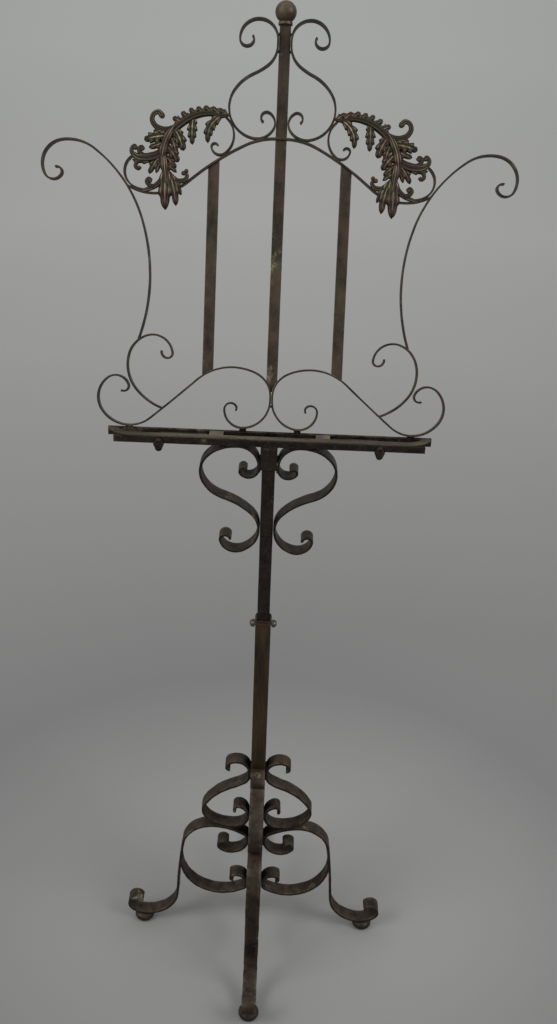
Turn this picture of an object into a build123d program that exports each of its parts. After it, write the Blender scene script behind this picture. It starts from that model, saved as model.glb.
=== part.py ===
from build123d import *
import os
from math import cos, radians, sin

os.makedirs("parts", exist_ok=True)

# Lengths in mm, angles in degrees. The post stands on the origin; the player faces +Y.

# Post
tube_side = 25.0
tube_wall = 2.0
tube_corner = 1.2
tube_bottom = 103.0
tube_top = 693.0
plug_height = 6.0
collar_side = 27.0
collar_height = 8.0
collar_bore = 20.6
collar_corner = 2.0
collar_shoulder_height = 5.0
collar_shoulder_slope = 24.0
bar_side = 20.0
bar_chamfer = 1.2
bar_bottom = 391.0

# Thumbscrews through the tube's side walls, their heads standing clear of the collar
screw_z = 689.0
screw_radius = 3.0
screw_hole_radius = 3.05
screw_gap = 0.3
screw_head_radius = 6.25
screw_head_height = 8.0
screw_rim_height = 3.5
screw_crown_radius = 1.0

# Legs: four alike, each of three scrolls of one flat strap, standing on a foot
legs = (("front", -90.0), ("right", 0.0), ("back", 90.0), ("left", 180.0))
leg_width = 25.0
leg_thickness = 5.0
leg_reach = tube_side / 2 + leg_thickness / 2
top_scroll_z = 376.2
top_scroll_run = 8.0
top_scroll_up = ((22.6, -118), (12.5, -58), (5, -110))
top_scroll_down = ((19.5, 53), (87, 15), (100, -39), (24, -63), (55, -69), (24.2, -142), (8, -160))
leg_scroll_z = 219.5
leg_scroll_run = 4.0
leg_scroll_up = (
    (13, -55), (104, -32), (54, -85), (1201, -6), (60.8, 76.4), (44.3, 49.8), (16.5, 90), (12.1, 123)
)
leg_scroll_down = ((29, 136), (9, 199))
brace_z = 108.0
brace_run = 6.0
brace_up = ((18, -119), (5.3, -159))
brace_down = ((10, 56), (73, 93), (85, 30.6))
foot_circle = 206.0
foot_radius = 17.6
foot_bulge_z = 8.2
foot_flat_radius = 11.5
foot_neck_radius = 9.5
foot_neck_z = 17.0
foot_top = 21.4

# Ledge, in the order from the front: face bar under a flat rail, open slots, rear rail on edge
ledge_top = 1023.0
ledge_bottom = 1010.0
rail_thickness = 3.0
front_y = -14.0
front_rail_back_y = -4.0
face_bar_depth = 6.0
face_bar_length = 454.0
rear_rail_front_y = 9.0
rear_rail_depth = 5.0
ledge_half = 238.0
rail_bend_x = 200.0
rail_tip_inner_x = 223.0
cross_strap_x = 78.0
cross_strap_width = 21.0
socket_bottom = 971.0

# Bracket scrolls between the socket and the ledge
bracket_width = 24.0
bracket_thickness = 4.0
bracket_z = 974.8
bracket_run = 4.0
bracket_up = (
    (31.5, -86), (61, -44), (38, -78), (52.5, -44), (109, 26), (40, 117), (24.1, 95.5), (7.8, 189)
)
bracket_down = ((15, 145), (5.2, 195))

# Page holders: one pin through the face bar carries a thumb lug in front and a finger behind
holder_x = 161.0
pin_z = 1015.0
pin_radius = 2.0
pin_bore_radius = 2.05
pin_gap = 0.3
pin_head_radius = 3.5
pin_head_height = 1.5
pin_crown_radius = 0.6
pin_shoulder_radius = 3.0
rivet_height = 1.2
lug_half = 8.0
lug_thickness = 3.0
lug_head_radius = 4.6
lug_waist_z = 1010.0
lug_toe_z = 998.5
lug_toe_half = 4.5
lug_toe_rise = 2.5
finger_front_y = 0.0
finger_thickness = 3.0
finger_boss_radius = 4.5
finger_low = -2.0
finger_high = 6.0
finger_length = 70.0
finger_end_radius = 3.0

# Desk, in its own plane: u sideways from the middle, v up the desk, w out of its face
desk_lean = 21.0
desk_y = 11.5
desk_lift = 0.9
strap_thickness = 3.0
strap_depth = 12.0
centre_bar_width = 16.0
centre_bar_depth = 5.0
centre_bar_top = 572.0
centre_bar_toe = ((0, 57.5), (1.9, 57.5), (2.7, 60), (7.0, 70), (8.0, 72))
ball_radius = 15.0
ball_v = 585.0
ball_ring_radius = 10.0
ball_ring_height = 3.5
slat_u = 94.0
slat_half = 8.0
slat_depth = 5.0
slat_foot_inner_v = 85.9
slat_foot_outer_v = 77.3
slat_top_inner_v = 383.6
slat_top_outer_v = 372.7
crown_anchor = (9.5, 544)
crown_run = 8.0
crown_up = ((26.6, -181), (9.9, -161), (7, -62))
crown_down = ((35, 53), (100, 12), (65, -31), (42, -116), (27.2, -67), (16, -94), (7.7, -140), (5.4, -45))
arch_start = (0, 414)
arch_heading = 3.2
arch_bends = ((102, -30.2), (398, -13.4), (77, 68.6))
wing_start = (195.5, 127.0)
wing_heading = 109.1
wing_bends = ((264, -25.1), (272, -12.3), (187, -36.5), (60, -47), (33, -105), (13.4, -125), (7, -138.5))
hook_start = (158.8, 28.2)
hook_heading = 19.0
hook_bends = ((87, 32.2), (56, 54.5), (39, 55.7), (28.7, 101), (7.1, 99), (9.1, 98))
bottom_anchor = (1.5, 47.7)
bottom_run = 6.0
bottom_up = ((36.6, -64), (79, -68), (2539, 2), (48, 94), (35, 86), (20, 107), (7.6, 142))
bottom_down = ((41, 84), (27, 94), (9.5, 130), (6.5, 88))
inner_tendril_start = (75.4, 437.5)
inner_tendril_heading = -134.0
inner_tendril_bends = ((31, 94.7), (12.4, 116), (4.9, 167))
outer_tendril_start = (206.6, 384.7)
outer_tendril_heading = -25.0
outer_tendril_bends = ((24, -130), (46, -20))
weld_us = (40.0, 206.5)
weld_half = 5.0
weld_height = 3.0

# Acanthus spray in front of each half of the desk
spray_thickness = 3.0
rib_height = 2.0
rib_width = 3.0
stem = ((76, 441), (98, 446), (120, 442), (140, 431), (154, 418), (163, 402), (165, 382), (161, 361))
stem_width = 8.0
# base, tip, width across the middle
spray_leaves = (
    ((90, 444), (99, 456), 9),
    ((103, 445), (112, 455), 9),
    ((116, 441), (127, 453), 10),
    ((129, 436), (137, 446), 9),
    ((140, 430), (149, 442), 10),
    ((92, 443), (101, 408), 15),
    ((96, 440), (89, 423), 8),
    ((98, 436), (107, 425), 8),
    ((123, 440), (124, 402), 13),
    ((122, 434), (115, 418), 7),
    ((126, 434), (132, 419), 7),
    ((146, 428), (139, 401), 11),
    ((154, 418), (146, 389), 13),
    ((163, 398), (146, 376), 12),
    ((163, 380), (152, 363), 9),
    ((163, 409), (190, 405), 14),
    ((166, 404), (180, 394), 9),
    ((163, 414), (178, 414), 8),
    ((165, 384), (186, 362), 10),
    ((164, 380), (172, 362), 8),
    ((161, 368), (160, 314), 16),
    ((158, 352), (139, 329), 12),
    ((161, 350), (146, 318), 11),
    ((162, 362), (173, 340), 9),
    ((188, 387), (209, 381), 10),
    ((194, 389), (197, 371), 8),
)
# start, heading, bends, width, radius of the knob at the end
spray_stalks = (
    ((148, 423), -18, ((30, 50), (10.5, 110), (6.5, 80)), 4.5, 4.0),
    ((163, 393), -48, ((26, 48), (34, 38)), 7.0, 4.0),
    ((162, 368), -72, ((60, 18), (17, 58)), 5.0, 2.8),
    ((162, 365), -145, ((30, -35), (9, -95)), 5.0, 4.0),
)
# centre, radius of the buds along the stalks
spray_buds = (
    ((192.5, 390.5), 3.6),
    ((176.5, 346), 3.8),
)


def bend_along(start, heading, bends):
    """Arcs end to end from start, each (radius, turn), a positive turn bending to the left."""
    point = Vector(*start)
    tangent = Vector(1, 0).rotate(Axis.Z, heading)
    for radius, turn in bends:
        arc = JernArc(start=point, tangent=tangent, radius=radius, arc_size=turn)
        point = arc @ 1
        tangent = arc % 1
    return point


def scroll_edge(plane, thickness, anchor, run, up, down):
    """The edge of a strap that lies flat for a short run and curls away above and below it."""
    with BuildSketch(plane) as edge:
        with BuildLine():
            Line((anchor[0], anchor[1] - run / 2), (anchor[0], anchor[1] + run / 2))
            bend_along((anchor[0], anchor[1] + run / 2), 90, up)
            bend_along((anchor[0], anchor[1] - run / 2), -90, down)
        trace(line_width=thickness)
    return edge.sketch


def bent_edge(plane, thickness, start, heading, bends):
    """The edge of a strap bent from one end."""
    with BuildSketch(plane) as edge:
        with BuildLine():
            bend_along(start, heading, bends)
        trace(line_width=thickness)
    return edge.sketch


def leg_plane(azimuth):
    """Upright plane through the post's axis: local x runs outward, local y up."""
    outward_x = cos(radians(azimuth))
    outward_y = sin(radians(azimuth))
    return Plane(origin=(0, 0, 0), x_dir=(outward_x, outward_y, 0), z_dir=(outward_y, -outward_x, 0))


def desk_plane(side):
    """The desk's plane: local x runs outward on this side, local y up the desk."""
    return Plane(
        origin=(0, desk_y, ledge_top + desk_lift),
        x_dir=(side, 0, 0),
        z_dir=(0, -side * cos(radians(desk_lean)), side * sin(radians(desk_lean))),
    )


def save(part, label):
    part.label = label
    export_step(part, "parts/" + label + ".step")


# Post ---------------------------------------------------------------------------------------
with BuildPart() as outer_tube:
    with BuildSketch(Plane.XY.offset(tube_bottom)):
        RectangleRounded(tube_side, tube_side, tube_corner)
        Rectangle(tube_side - 2 * tube_wall, tube_side - 2 * tube_wall, mode=Mode.SUBTRACT)
    extrude(amount=tube_top - tube_bottom)
    with Locations((0, 0, screw_z)):
        Cylinder(screw_hole_radius, tube_side + 1, rotation=(0, 90, 0), mode=Mode.SUBTRACT)
save(outer_tube.part, "outer_tube")

with BuildPart() as tube_end_plug:
    with BuildSketch(Plane.XY.offset(tube_bottom)):
        Rectangle(tube_side - 2 * tube_wall, tube_side - 2 * tube_wall)
    extrude(amount=plug_height)
save(tube_end_plug.part, "tube_end_plug")

with BuildPart() as guide_collar:
    with BuildSketch(Plane.XY.offset(tube_top)):
        RectangleRounded(collar_side, collar_side, collar_corner)
    extrude(amount=collar_height - collar_shoulder_height)
    with BuildSketch(Plane.XY.offset(tube_top + collar_height - collar_shoulder_height)):
        RectangleRounded(collar_side, collar_side, collar_corner)
    extrude(amount=collar_shoulder_height, taper=collar_shoulder_slope)
    with BuildSketch(Plane.XY.offset(tube_top)):
        Rectangle(collar_bore, collar_bore)
    extrude(amount=collar_height, mode=Mode.SUBTRACT)
save(guide_collar.part, "guide_collar")

screw_seat = collar_side / 2 + screw_gap
screw_tip = bar_side / 2 + screw_gap
screw_end = screw_seat + screw_head_height
for label, side in (("left_thumbscrew", -1), ("right_thumbscrew", 1)):
    across = Plane(origin=(0, 0, screw_z), x_dir=(side, 0, 0), z_dir=(0, -side, 0))
    with BuildPart() as thumbscrew:
        with BuildSketch(across):
            with BuildLine():
                Polyline(
                    (screw_end, 0),
                    (screw_tip, 0),
                    (screw_tip, screw_radius),
                    (screw_seat, screw_radius),
                    (screw_seat, screw_head_radius),
                    (screw_seat + screw_rim_height, screw_head_radius),
                )
                ThreePointArc(
                    (screw_seat + screw_rim_height, screw_head_radius),
                    (screw_end - 0.28 * (screw_head_height - screw_rim_height), 0.7 * screw_head_radius),
                    (screw_end, screw_crown_radius),
                )
                Line((screw_end, screw_crown_radius), (screw_end, 0))
            make_face()
        revolve(axis=Axis((0, 0, screw_z), (1, 0, 0)))
    save(thumbscrew.part, label)

# Legs ---------------------------------------------------------------------------------------
for leg_name, azimuth in legs:
    plane = leg_plane(azimuth)
    with BuildPart() as leg_scroll:
        extrude(
            scroll_edge(
                plane, leg_thickness, (leg_reach, leg_scroll_z), leg_scroll_run, leg_scroll_up, leg_scroll_down
            ),
            amount=leg_width / 2,
            both=True,
        )
    save(leg_scroll.part, leg_name + "_leg_scroll")

    with BuildPart() as leg_top_scroll:
        extrude(
            scroll_edge(
                plane, leg_thickness, (leg_reach, top_scroll_z), top_scroll_run, top_scroll_up, top_scroll_down
            ),
            amount=leg_width / 2,
            both=True,
        )
        # Dressed flat where it lies on the post, and hollow where it sits on the big scroll
        with Locations((0, 0, top_scroll_z)):
            Box(tube_side, tube_side, tube_top - tube_bottom, mode=Mode.SUBTRACT)
        add(leg_scroll.part, mode=Mode.SUBTRACT)
    save(leg_top_scroll.part, leg_name + "_leg_top_scroll")

    with BuildPart() as leg_brace:
        extrude(
            scroll_edge(plane, leg_thickness, (leg_reach, brace_z), brace_run, brace_up, brace_down),
            amount=leg_width / 2,
            both=True,
        )
        add(leg_scroll.part, mode=Mode.SUBTRACT)
    save(leg_brace.part, leg_name + "_leg_brace")

    with BuildPart() as foot:
        with BuildSketch(plane):
            with BuildLine():
                Polyline(
                    (foot_circle, foot_top),
                    (foot_circle, 0),
                    (foot_circle + foot_flat_radius, 0),
                )
                Spline(
                    (foot_circle + foot_flat_radius, 0),
                    (foot_circle + foot_radius, foot_bulge_z),
                    (foot_circle + foot_neck_radius, foot_neck_z),
                    tangents=((1, 0.4), (-1, 0.35)),
                )
                Polyline(
                    (foot_circle + foot_neck_radius, foot_neck_z),
                    (foot_circle + foot_neck_radius, foot_top),
                    (foot_circle, foot_top),
                )
            make_face()
        revolve(axis=Axis((plane.x_dir.X * foot_circle, plane.x_dir.Y * foot_circle, 0), (0, 0, 1)))
        add(leg_scroll.part, mode=Mode.SUBTRACT)
    save(foot.part, leg_name + "_foot")

# Sliding bar and its socket -------------------------------------------------------------------
with BuildPart() as inner_bar:
    with BuildSketch(Plane.XY.offset(bar_bottom)):
        Rectangle(bar_side, bar_side)
        chamfer(vertices(), length=bar_chamfer)
    extrude(amount=ledge_bottom - bar_bottom)
save(inner_bar.part, "inner_bar")

with BuildPart() as ledge_socket:
    with BuildSketch(Plane.XY.offset(socket_bottom)):
        RectangleRounded(tube_side, tube_side, tube_corner)
        Rectangle(bar_side, bar_side, mode=Mode.SUBTRACT)
    extrude(amount=ledge_bottom - socket_bottom)
save(ledge_socket.part, "ledge_socket")

# Ledge --------------------------------------------------------------------------------------
with BuildPart() as face_bar:
    with Locations((0, front_y + face_bar_depth / 2, (ledge_bottom + ledge_top - rail_thickness) / 2)):
        Box(face_bar_length, face_bar_depth, ledge_top - rail_thickness - ledge_bottom)
    with Locations((-holder_x, front_y, pin_z), (holder_x, front_y, pin_z)):
        Cylinder(pin_bore_radius, 3 * face_bar_depth, rotation=(90, 0, 0), mode=Mode.SUBTRACT)
save(face_bar.part, "face_bar")

with BuildPart() as back_rail:
    with Locations((0, rear_rail_front_y + rear_rail_depth / 2, (ledge_bottom + ledge_top) / 2)):
        Box(2 * ledge_half, rear_rail_depth, ledge_top - ledge_bottom)
save(back_rail.part, "back_rail")

with BuildPart() as front_rail:
    with BuildSketch(Plane.XY.offset(ledge_top - rail_thickness)) as front_rail_plan:
        with BuildLine():
            Line((0, front_rail_back_y), (0, front_y))
            Line((0, front_y), (rail_bend_x, front_y))
            TangentArc((rail_bend_x, front_y), (ledge_half, rear_rail_front_y), tangent=(1, 0))
            Line((ledge_half, rear_rail_front_y), (rail_tip_inner_x, rear_rail_front_y))
            TangentArc(
                (rail_bend_x, front_rail_back_y), (rail_tip_inner_x, rear_rail_front_y), tangent=(1, 0)
            )
            Line((rail_bend_x, front_rail_back_y), (0, front_rail_back_y))
        make_face()
        mirror(about=Plane.YZ)
    extrude(amount=rail_thickness)
save(front_rail.part, "front_rail")

for label, side in (("left_cross_strap", -1), ("right_cross_strap", 1)):
    strap_length = rear_rail_front_y - front_rail_back_y
    with BuildPart() as cross_strap:
        with Locations((side * cross_strap_x, front_rail_back_y + strap_length / 2, ledge_top - rail_thickness / 2)):
            Box(cross_strap_width, strap_length, rail_thickness)
    save(cross_strap.part, label)

for side_name, side in (("left", -1), ("right", 1)):
    with BuildPart() as bracket_scroll:
        extrude(
            scroll_edge(
                leg_plane(90 - 90 * side),
                bracket_thickness,
                (tube_side / 2 + bracket_thickness / 2, bracket_z),
                bracket_run,
                bracket_up,
                bracket_down,
            ),
            amount=bracket_width / 2,
            both=True,
        )
        # Dressed flat under the rails and against the bar
        with Locations((0, 0, ledge_top)):
            Box(2 * ledge_half, bracket_width, 2 * (ledge_top - ledge_bottom), mode=Mode.SUBTRACT)
        with Locations((0, 0, (bar_bottom + socket_bottom) / 2)):
            Box(bar_side, bracket_width, socket_bottom - bar_bottom, mode=Mode.SUBTRACT)
    save(bracket_scroll.part, side_name + "_bracket_scroll")

# Page holders -------------------------------------------------------------------------------
lug_back_y = front_y - pin_gap
lug_front_y = lug_back_y - lug_thickness
shoulder_y = front_y + face_bar_depth + pin_gap
finger_back_y = finger_front_y + finger_thickness
for side_name, side in (("left", -1), ("right", 1)):
    face = Plane(origin=(side * holder_x, lug_front_y, pin_z), x_dir=(-side, 0, 0), z_dir=(0, side, 0))
    waist = lug_waist_z - pin_z
    toe = lug_toe_z - pin_z
    with BuildPart() as holder_lug:
        with BuildSketch(face):
            with BuildLine():
                Polyline((-lug_toe_half, toe + lug_toe_rise), (-lug_half, waist), (-lug_head_radius, 0))
                ThreePointArc((-lug_head_radius, 0), (0, lug_head_radius), (lug_head_radius, 0))
                Polyline((lug_head_radius, 0), (lug_half, waist), (lug_toe_half, toe + lug_toe_rise))
                ThreePointArc(
                    (lug_toe_half, toe + lug_toe_rise), (0, toe), (-lug_toe_half, toe + lug_toe_rise)
                )
            make_face()
            Circle(pin_radius, mode=Mode.SUBTRACT)
        extrude(amount=side * lug_thickness)
    save(holder_lug.part, side_name + "_holder_lug")

    along = Plane(origin=(side * holder_x, 0, pin_z), x_dir=(0, 1, 0), z_dir=(side, 0, 0))
    head_y = lug_front_y - pin_head_height
    with BuildPart() as holder_pin:
        with BuildSketch(along):
            with BuildLine():
                Polyline(
                    (head_y, side * pin_crown_radius),
                    (head_y, 0),
                    (finger_back_y + rivet_height, 0),
                    (finger_back_y + rivet_height, side * pin_shoulder_radius),
                    (finger_back_y, side * pin_shoulder_radius),
                    (finger_back_y, side * pin_radius),
                    (finger_front_y, side * pin_radius),
                    (finger_front_y, side * pin_shoulder_radius),
                    (shoulder_y, side * pin_shoulder_radius),
                    (shoulder_y, side * pin_radius),
                    (lug_front_y, side * pin_radius),
                    (lug_front_y, side * pin_head_radius),
                )
                ThreePointArc(
                    (lug_front_y, side * pin_head_radius),
                    (lug_front_y - 0.75 * pin_head_height, side * 0.65 * pin_head_radius),
                    (head_y, side * pin_crown_radius),
                )
            make_face()
        revolve(axis=Axis((side * holder_x, 0, pin_z), (0, 1, 0)))
    save(holder_pin.part, side_name + "_holder_pin")

    swing = Plane(origin=(side * holder_x, finger_front_y, pin_z), x_dir=(-side, 0, 0), z_dir=(0, side, 0))
    with BuildPart() as holder_finger:
        with BuildSketch(swing):
            with Locations((finger_length / 2, (finger_low + finger_high) / 2)):
                RectangleRounded(finger_length, finger_high - finger_low, finger_end_radius)
            Circle(finger_boss_radius)
            Circle(pin_radius, mode=Mode.SUBTRACT)
        extrude(amount=side * finger_thickness)
    save(holder_finger.part, side_name + "_holder_finger")

# Desk ---------------------------------------------------------------------------------------
bottom_scrolls = []
for side_name, side in (("left", -1), ("right", 1)):
    plane = desk_plane(side)
    half_depth = strap_depth / 2
    with BuildPart() as bottom_scroll:
        extrude(
            scroll_edge(plane, strap_thickness, bottom_anchor, bottom_run, bottom_up, bottom_down),
            amount=half_depth,
            both=True,
        )
    save(bottom_scroll.part, side_name + "_bottom_scroll")
    bottom_scrolls.append(bottom_scroll)

    with BuildPart() as hook_scroll:
        extrude(
            bent_edge(plane, strap_thickness, hook_start, hook_heading, hook_bends), amount=half_depth, both=True
        )
        add(bottom_scroll.part, mode=Mode.SUBTRACT)
    save(hook_scroll.part, side_name + "_hook_scroll")

    with BuildPart() as wing_bar:
        extrude(
            bent_edge(plane, strap_thickness, wing_start, wing_heading, wing_bends), amount=half_depth, both=True
        )
        add(hook_scroll.part, mode=Mode.SUBTRACT)
    save(wing_bar.part, side_name + "_wing_bar")

    with BuildPart() as arch_rail:
        extrude(
            bent_edge(plane, strap_thickness, arch_start, arch_heading, arch_bends), amount=half_depth, both=True
        )
        add(wing_bar.part, mode=Mode.SUBTRACT)
        with BuildSketch(plane):
            with Locations((0, arch_start[1])):
                Rectangle(centre_bar_width, 2 * strap_depth)
        extrude(amount=strap_depth, both=True, mode=Mode.SUBTRACT)
    save(arch_rail.part, side_name + "_arch_rail")

    with BuildPart() as crown_scroll:
        extrude(
            scroll_edge(plane, strap_thickness, crown_anchor, crown_run, crown_up, crown_down),
            amount=half_depth,
            both=True,
        )
        add(arch_rail.part, mode=Mode.SUBTRACT)
        with BuildSketch(plane):
            with Locations((0, crown_anchor[1])):
                Rectangle(centre_bar_width, centre_bar_top / 2)
        extrude(amount=strap_depth, both=True, mode=Mode.SUBTRACT)
    save(crown_scroll.part, side_name + "_crown_scroll")

    with BuildPart() as slat:
        with BuildSketch(plane):
            with BuildLine():
                Polyline(
                    (slat_u - slat_half, slat_foot_inner_v),
                    (slat_u + slat_half, slat_foot_outer_v),
                    (slat_u + slat_half, slat_top_outer_v),
                    (slat_u - slat_half, slat_top_inner_v),
                    close=True,
                )
            make_face()
        extrude(amount=slat_depth / 2, both=True)
        add(bottom_scroll.part, mode=Mode.SUBTRACT)
        add(arch_rail.part, mode=Mode.SUBTRACT)
    save(slat.part, side_name + "_slat")

    with BuildPart() as inner_tendril:
        extrude(
            bent_edge(
                plane, strap_thickness, inner_tendril_start, inner_tendril_heading, inner_tendril_bends
            ),
            amount=half_depth,
            both=True,
        )
        add(arch_rail.part, mode=Mode.SUBTRACT)
        add(crown_scroll.part, mode=Mode.SUBTRACT)
    save(inner_tendril.part, side_name + "_inner_tendril")

    with BuildPart() as outer_tendril:
        extrude(
            bent_edge(
                plane, strap_thickness, outer_tendril_start, outer_tendril_heading, outer_tendril_bends
            ),
            amount=half_depth,
            both=True,
        )
        add(arch_rail.part, mode=Mode.SUBTRACT)
        add(wing_bar.part, mode=Mode.SUBTRACT)
    save(outer_tendril.part, side_name + "_outer_tendril")

    with BuildPart() as leaf_spray:
        with BuildSketch(plane.offset(side * half_depth)):
            with BuildLine():
                Spline(*stem)
            trace(line_width=stem_width)
            for base, tip, width in spray_leaves:
                middle = Vector(base[0] + tip[0], base[1] + tip[1]) / 2
                bulge = Vector(base[1] - tip[1], tip[0] - base[0]).normalized() * width / 2
                with BuildLine():
                    ThreePointArc(base, middle + bulge, tip)
                    ThreePointArc(tip, middle - bulge, base)
                make_face()
            for start, heading, bends, width, knob_radius in spray_stalks:
                with BuildLine():
                    stalk_end = bend_along(start, heading, bends)
                trace(line_width=width)
                with Locations(stalk_end):
                    Circle(knob_radius)
            for centre, radius in spray_buds:
                with Locations(centre):
                    Circle(radius)
        extrude(amount=side * spray_thickness)
        with BuildSketch(plane.offset(side * (half_depth + spray_thickness))):
            with BuildLine():
                Spline(*stem)
            trace(line_width=rib_width)
        extrude(amount=side * rib_height)
    save(leaf_spray.part, side_name + "_leaf_spray")

with BuildPart() as centre_bar:
    with BuildSketch(desk_plane(1)):
        with BuildLine():
            Polyline(
                *centre_bar_toe,
                (centre_bar_width / 2, centre_bar_top),
                (0, centre_bar_top),
                close=True,
            )
        make_face()
        mirror(about=Plane.YZ)
    extrude(amount=centre_bar_depth / 2, both=True)
    for bottom_scroll in bottom_scrolls:
        add(bottom_scroll.part, mode=Mode.SUBTRACT)
save(centre_bar.part, "centre_bar")

with BuildPart() as ball_finial:
    with Locations(desk_plane(1)):
        with Locations((0, ball_v, 0)):
            Sphere(ball_radius)
        with Locations((0, ball_v - ball_radius - ball_ring_height / 2 + 1, 0)):
            Cylinder(ball_ring_radius, ball_ring_height, rotation=(90, 0, 0))
    add(centre_bar.part, mode=Mode.SUBTRACT)
save(ball_finial.part, "ball_finial")

with BuildPart() as desk_foot_welds:
    for side in (-1, 1):
        for weld_u in weld_us:
            with Locations((side * weld_u, rear_rail_front_y + rear_rail_depth / 2, ledge_top + weld_height / 2)):
                Box(2 * weld_half, rear_rail_depth, weld_height)
    for bottom_scroll in bottom_scrolls:
        add(bottom_scroll.part, mode=Mode.SUBTRACT)
save(desk_foot_welds.part, "desk_foot_welds")
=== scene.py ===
from itertools import count
from math import ceil, cos, exp, pi, radians, sin

import bmesh
import bpy
from mathutils import Matrix, Vector, noise


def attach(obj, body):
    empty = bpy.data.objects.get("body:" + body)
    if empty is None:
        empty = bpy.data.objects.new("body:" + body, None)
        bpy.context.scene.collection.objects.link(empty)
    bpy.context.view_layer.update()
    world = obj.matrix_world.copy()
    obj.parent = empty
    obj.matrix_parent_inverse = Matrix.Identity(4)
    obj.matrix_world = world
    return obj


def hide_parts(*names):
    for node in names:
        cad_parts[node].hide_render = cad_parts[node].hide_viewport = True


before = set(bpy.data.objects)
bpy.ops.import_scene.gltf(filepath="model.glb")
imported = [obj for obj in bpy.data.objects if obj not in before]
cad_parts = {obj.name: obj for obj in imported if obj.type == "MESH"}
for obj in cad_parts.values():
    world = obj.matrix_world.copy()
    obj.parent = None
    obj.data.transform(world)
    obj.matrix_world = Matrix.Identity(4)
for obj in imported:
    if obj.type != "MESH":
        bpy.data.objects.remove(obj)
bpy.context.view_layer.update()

MM = 0.001
HANDS = (("left", -1), ("right", 1))
LEGS = (("front", -90), ("right", 0), ("back", 90), ("left", 180))
TUBE_MOUTH = 0.6945  # the height in metres at which the bar enters its tube
DESK_LEAN = radians(21)
DESK_FOOT = (0, 11.5, 1023.9)  # in mm, the foot of the desk on the middle line of its straps
bpy.context.scene.view_settings.view_transform = "Standard"


def paint(red, green, blue):
    """A paint chart's 0-255 colour as the linear colour a shader takes."""
    linear = [((c / 255 + 0.055) / 1.055) ** 2.4 if c > 10 else c / 255 / 12.92 for c in (red, green, blue)]
    return (*linear, 1.0)


def turns(sides):
    """The angles of points set evenly round a circle."""
    return [2 * pi * k / sides for k in range(sides)]


def linked(name, data):
    """A new object in the scene."""
    made = bpy.data.objects.new(name, data)
    bpy.context.collection.objects.link(made)
    return made


# Camera ---------------------------------------------------------------------------------------
camera = linked("camera", bpy.data.cameras.new("camera"))
bpy.context.scene.camera = camera
camera.data.sensor_width = 36.0
camera.data.lens = 39.73
tilt, roll = radians(29.56), radians(2.3)
ahead = Vector((0, cos(tilt), -sin(tilt)))
upright = Vector((0, sin(tilt), cos(tilt)))
right = Vector((1, 0, 0)) * cos(roll) + upright * sin(roll)
aim = Matrix((right, right.cross(ahead), -ahead)).transposed().to_4x4()
camera.matrix_world = Matrix.Translation((0.0174, -1.4908, 1.7408)) @ aim


# Node building --------------------------------------------------------------------------------
class Value:
    """One output in a node tree, so that sums on it are written as Python."""

    def __init__(self, nodes, socket):
        self.nodes = nodes
        self.socket = socket

    def _math(self, operation, *terms, clamp=False):
        return self.nodes.add(
            "ShaderNodeMath", {"operation": operation, "use_clamp": clamp}, dict(enumerate(terms))
        )

    def __add__(self, other):
        return self._math("ADD", self, other)

    def __mul__(self, other):
        return self._math("MULTIPLY", self, other)

    def __sub__(self, other):
        return self._math("SUBTRACT", self, other)

    def __truediv__(self, other):
        return self._math("DIVIDE", self, other)

    def __pow__(self, other):
        return self._math("POWER", self, other)

    def __rsub__(self, other):
        return self._math("SUBTRACT", other, self)

    def __abs__(self):
        return self._math("ABSOLUTE", self)

    __radd__ = __add__
    __rmul__ = __mul__

    def clamp(self):
        """Held between 0 and 1."""
        return self._math("ADD", self, 0.0, clamp=True)

    def over(self, low, high):
        """0 up to low, 1 from high, straight in between."""
        return ((self - low) / (high - low)).clamp()


class Nodes:
    """A node tree being built."""

    def __init__(self, tree):
        self.tree = tree

    def add(self, kind, settings=None, sockets=None, output=0):
        """Makes one node: settings first, then a value or a link for each socket. Hands back one output."""
        node = self.tree.nodes.new(kind)
        for name, value in (settings or {}).items():
            if name == "stops":
                elements = node.color_ramp.elements
                for index, (position, colour) in enumerate(value):  # a new ramp has two stops, at 0 and 1
                    element = elements[index] if index < 2 else elements.new(position)
                    element.position, element.color = position, colour
            else:
                setattr(node, name, value)
        for key, value in (sockets or {}).items():
            if isinstance(value, Value):
                self.tree.links.new(value.socket, node.inputs[key])
            else:
                node.inputs[key].default_value = value
        return Value(self, node.outputs[output]) if len(node.outputs) else None

    def noise(self, at, scale, detail=3.0, roughness=0.5):
        """Noise with about scale features a metre."""
        return self.add(
            "ShaderNodeTexNoise",
            None,
            {"Vector": at, "Scale": scale, "Detail": detail, "Roughness": roughness},
        )

    def stretched(self, at, x, y, z):
        """Coordinates times these, so that a pattern on them runs long where one is small."""
        return self.add("ShaderNodeVectorMath", {"operation": "MULTIPLY"}, {0: at, 1: (x, y, z)})

    def mix(self, factor, start, end):
        """A colour between two others. A Mix node's colours are its sockets 6 and 7 and its output 2."""
        return self.add("ShaderNodeMix", {"data_type": "RGBA"}, {0: factor, 6: start, 7: end}, 2)

    def scaled(self, vector, factor):
        """A colour or vector times a factor that may change over the surface."""
        return self.add("ShaderNodeVectorMath", {"operation": "SCALE"}, {0: vector, "Scale": factor})


def new_finish(name):
    """An empty material and its node tree."""
    material = bpy.data.materials.new(name)
    material.use_nodes = True
    material.node_tree.nodes.clear()
    return material, Nodes(material.node_tree)


def surface(nodes, kind, sockets):
    """Ends a finish with one shader."""
    nodes.add("ShaderNodeOutputMaterial", None, {"Surface": nodes.add(kind, None, sockets)})


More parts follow.
